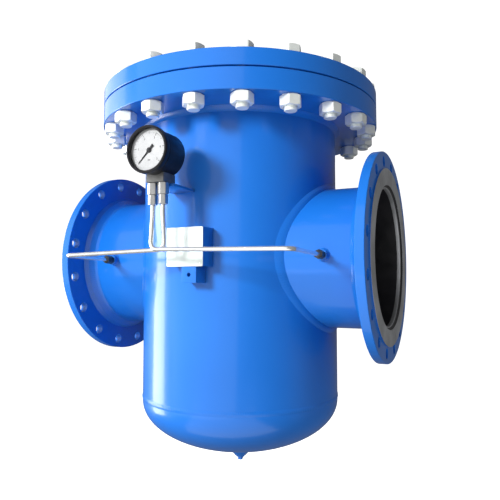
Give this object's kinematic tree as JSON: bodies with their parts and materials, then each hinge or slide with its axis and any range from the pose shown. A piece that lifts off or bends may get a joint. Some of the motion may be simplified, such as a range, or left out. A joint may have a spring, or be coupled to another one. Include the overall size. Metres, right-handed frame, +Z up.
{
  "type": "basket strainer",
  "caption": "Flanged in-line basket strainer with bolted blind cover, lift-out basket on a slanted seat, and differential pressure gauge piped to both nozzles.",
  "frame": {"origin": "where the vessel's vertical axis crosses the pipe's axis", "axes": "+Z up the vessel to the cover, +X out of the inlet nozzle, -X out of the outlet nozzle, the gauge faces -Y"},
  "size_m": [0.83, 0.792, 1.01],
  "materials": {
    "blue_paint": "gloss blue enamel on welded steel",
    "zinc_plate": "bright zinc plating",
    "stainless_steel": "drawn stainless steel",
    "gasket_sheet": "compressed fibre sheet",
    "black_case": "black lacquer",
    "dial_white": "white dial with black scale",
    "pointer_black": "matt black",
    "window_glass": "clear flat glass",
    "nameplate_aluminium": "blank satin aluminium"
  },
  "bodies": {
    "vessel": {"shell": "blue_paint", "bottom_head": "blue_paint", "drain_boss": "blue_paint", "drain_plug": "blue_paint", "body_flange": "blue_paint", "inlet_neck": "blue_paint", "inlet_flange": "blue_paint", "outlet_neck": "blue_paint", "outlet_flange": "blue_paint", "inlet_impulse_tube": "stainless_steel", "outlet_impulse_tube": "stainless_steel", "port_boss_inlet": "blue_paint", "port_boss_outlet": "blue_paint", "port_nut_inlet": "stainless_steel", "port_nut_outlet": "stainless_steel", "cover_gasket": "gasket_sheet", "basket_seat": "blue_paint", "gauge_case": "black_case", "gauge_bezel": "black_case", "gauge_window": "window_glass", "gauge_dial": "dial_white", "gauge_manifold": "stainless_steel", "gauge_bracket": "blue_paint", "gauge_fitting_left": "stainless_steel", "gauge_fitting_right": "stainless_steel", "tube_nut_left": "stainless_steel", "tube_nut_right": "stainless_steel", "nameplate": "nameplate_aluminium", "nameplate_bracket": "blue_paint", "earthing_lug": "blue_paint"},
    "cover": {"cover_plate": "blue_paint", "cover_bolt_01": "zinc_plate", "cover_bolt_02": "zinc_plate", "cover_bolt_03": "zinc_plate", "cover_bolt_04": "zinc_plate", "cover_bolt_05": "zinc_plate", "cover_bolt_06": "zinc_plate", "cover_bolt_07": "zinc_plate", "cover_bolt_08": "zinc_plate", "cover_bolt_09": "zinc_plate", "cover_bolt_10": "zinc_plate", "cover_bolt_11": "zinc_plate", "cover_bolt_12": "zinc_plate", "cover_bolt_13": "zinc_plate", "cover_bolt_14": "zinc_plate", "cover_bolt_15": "zinc_plate", "cover_bolt_16": "zinc_plate", "cover_bolt_17": "zinc_plate", "cover_bolt_18": "zinc_plate", "cover_bolt_19": "zinc_plate", "cover_bolt_20": "zinc_plate"},
    "basket": {"basket_rim": "stainless_steel", "basket_screen": "stainless_steel", "basket_floor": "stainless_steel", "basket_bail": "stainless_steel"},
    "pointer": {"gauge_pointer": "pointer_black"}
  },
  "joints": [
    {"name": "cover_lift", "type": "slide", "parent": "vessel", "child": "cover", "axis": [0, 0, 1], "range_m": [0, 1.12]},
    {"name": "basket_lift", "type": "slide", "parent": "vessel", "child": "basket", "axis": [0, 0, 1], "range_m": [0, 0.84]},
    {"name": "pointer_turn", "type": "hinge", "parent": "vessel", "child": "pointer", "pos_m": [-0.021, -0.404, 0.224], "axis": [0, 1, 0], "range_deg": [0, 270]}
  ],
  "couplings": [
    {"joint": "basket_lift", "follows": "cover_lift", "ratio": 0.75}
  ]
}
